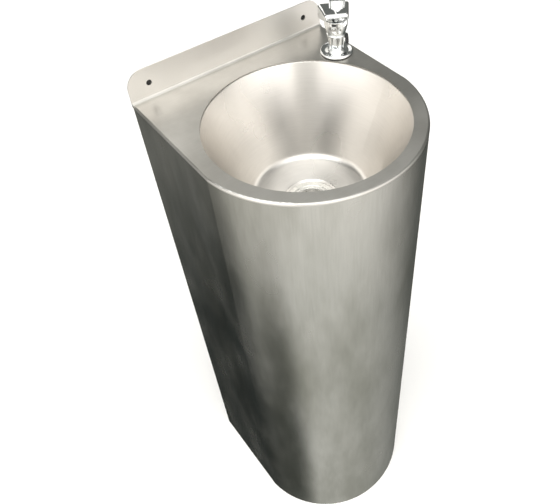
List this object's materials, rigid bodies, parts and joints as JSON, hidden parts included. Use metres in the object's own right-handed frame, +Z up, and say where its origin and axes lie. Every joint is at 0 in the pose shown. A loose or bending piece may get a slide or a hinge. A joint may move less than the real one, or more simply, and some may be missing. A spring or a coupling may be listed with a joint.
{
  "type": "drinking fountain",
  "caption": "Back-to-wall pedestal drinking fountain in satin stainless steel: round-nosed casing, round tapered bowl, rear upstand and a chrome push-button bubbler tap.",
  "frame": {"origin": "floor level, at the centre of the footprint, which is also under the bowl's axis", "axes": "+Z up; -Y is the front, +Y faces the wall; +X is the bubbler's side, right when seen from the front"},
  "size_m": [0.315, 0.33, 0.9845],
  "materials": {
    "casing_steel": "satin brushed",
    "deck_steel": "satin brushed",
    "bowl_steel": "fine satin, spun",
    "bracket_steel": "mill",
    "waste_steel": "polished",
    "screw_steel": "polished",
    "chrome": "mirror",
    "black_plastic": "satin",
    "white_plastic": "smooth",
    "seal_rubber": "matte",
    "brass": "machined",
    "nickel_brass": "satin nickel",
    "copper_tube": "drawn",
    "ptfe": "smooth",
    "lever_red": "gloss"
  },
  "bodies": {
    "root": {"pedestal_casing": "casing_steel", "deck_plate": "deck_steel", "bowl": "bowl_steel", "floor_bracket_left": "bracket_steel", "floor_bracket_right": "bracket_steel", "service_bracket": "bracket_steel", "bracket_screws": "screw_steel", "waste_strainer": "waste_steel", "waste_gasket_upper": "seal_rubber", "waste_gasket_lower": "seal_rubber", "waste_body": "white_plastic", "waste_screw": "screw_steel", "trap_inlet_nut": "white_plastic", "trap_inlet_seal": "seal_rubber", "trap_body": "white_plastic", "trap_cup": "white_plastic", "trap_cup_seal": "seal_rubber", "trap_outlet_nut": "white_plastic", "trap_outlet_seal": "seal_rubber", "outlet_pipe": "white_plastic", "pipe_grommet": "seal_rubber", "bubbler_gasket": "seal_rubber", "bubbler_flange": "chrome", "bubbler_body": "chrome", "mouth_guard": "chrome", "button_collar": "chrome", "button_wiper": "black_plastic", "return_spring": "screw_steel", "valve_cartridge": "brass", "nozzle": "chrome", "shank_washer": "brass", "shank_nut": "brass", "tail_nut": "brass", "tail_olive": "brass", "supply_tube": "copper_tube", "valve_tube_nut": "brass", "valve_olive": "brass", "stop_valve_body": "nickel_brass", "valve_seat_ring": "ptfe", "stop_valve_gland": "brass", "inlet_locknut": "brass"},
    "button": {"push_button": "chrome", "valve_stem": "screw_steel", "valve_washer": "seal_rubber"},
    "regulator": {"flow_knob": "black_plastic", "flow_spindle": "brass"},
    "stop_valve": {"stop_valve_ball": "nickel_brass", "stop_valve_spindle": "brass", "stop_valve_handle": "lever_red", "handle_screw": "screw_steel"}
  },
  "joints": [
    {"name": "button_press", "type": "slide", "parent": "root", "child": "button", "axis": [0, 0, -1], "range_m": [0, 0.004], "stiffness_N_per_m": 700, "springref_m": -0.005, "deforming": ["return_spring"]},
    {"name": "flow_knob_turn", "type": "hinge", "parent": "root", "child": "regulator", "pos_m": [0.1275, 0.08616, 0.92], "axis": [0.866, -0.5, 0], "range_deg": [0, 270]},
    {"name": "stop_valve_turn", "type": "hinge", "parent": "root", "child": "stop_valve", "pos_m": [0.085, 0.108, 0.6693], "axis": [0, -1, 0], "range_deg": [0, 90]}
  ]
}
